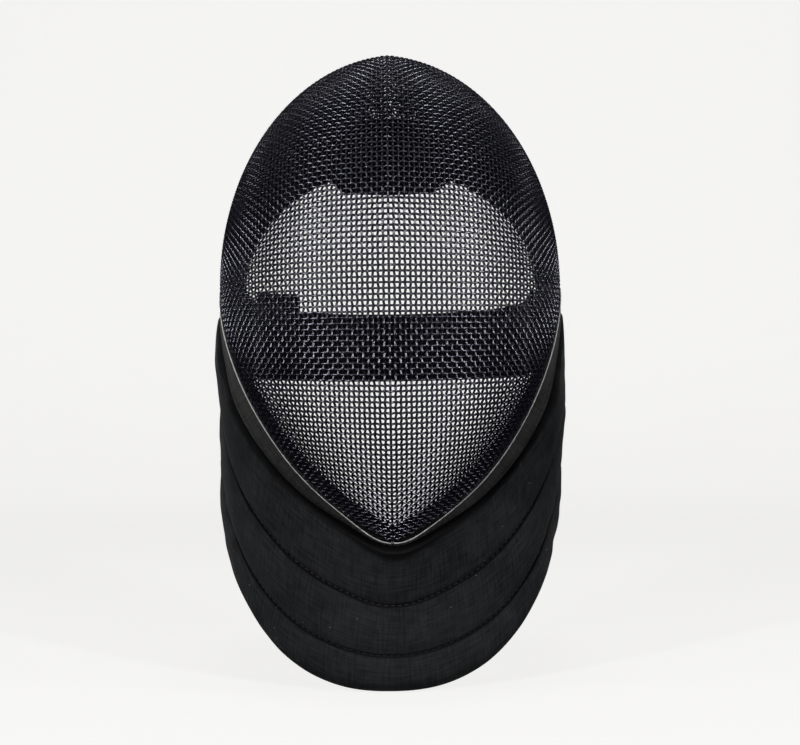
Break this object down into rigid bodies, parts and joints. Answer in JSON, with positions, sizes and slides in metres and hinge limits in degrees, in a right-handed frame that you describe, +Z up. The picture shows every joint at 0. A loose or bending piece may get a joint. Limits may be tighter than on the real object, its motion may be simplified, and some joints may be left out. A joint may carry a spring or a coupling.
{
  "type": "fencing mask",
  "caption": "Fencing mask: a creased dome of black woven wire guards the face and crown, a quilted bib the throat; a padded band, tongue and wide strap hold it on the head.",
  "frame": {"origin": "the head seat: the spot inside the top of the crown where the wearer's head stops, straight above the axis through both ears", "axes": "+Z up, -Y the way the face looks, +X to the viewer's right"},
  "size_m": [0.2092, 0.234, 0.3673],
  "materials": {
    "black_wire": "steel wire, black enamel with a faint indigo tint, worn a little on the crossings",
    "black_tape": "flat binding tape, fine ribs across it",
    "grey_piping": "thin pale cord, stitched down",
    "black_lining": "flat inner binding",
    "black_cotton": "matte woven cotton, quilted, with a little lint",
    "black_padding": "padded cotton band",
    "tongue_cloth": "cloth-covered plate",
    "black_webbing": "wide elastic webbing",
    "tab_webbing": "folded-back webbing end"
  },
  "bodies": {
    "root": {"wire_dome": "black_wire", "edge_tape": "black_tape", "edge_piping": "grey_piping", "jaw_lining": "black_lining", "bib": "black_cotton", "rear_band": "black_padding", "tongue": "tongue_cloth", "back_strap": "black_webbing", "strap_tab": "tab_webbing"}
  },
  "joints": []
}
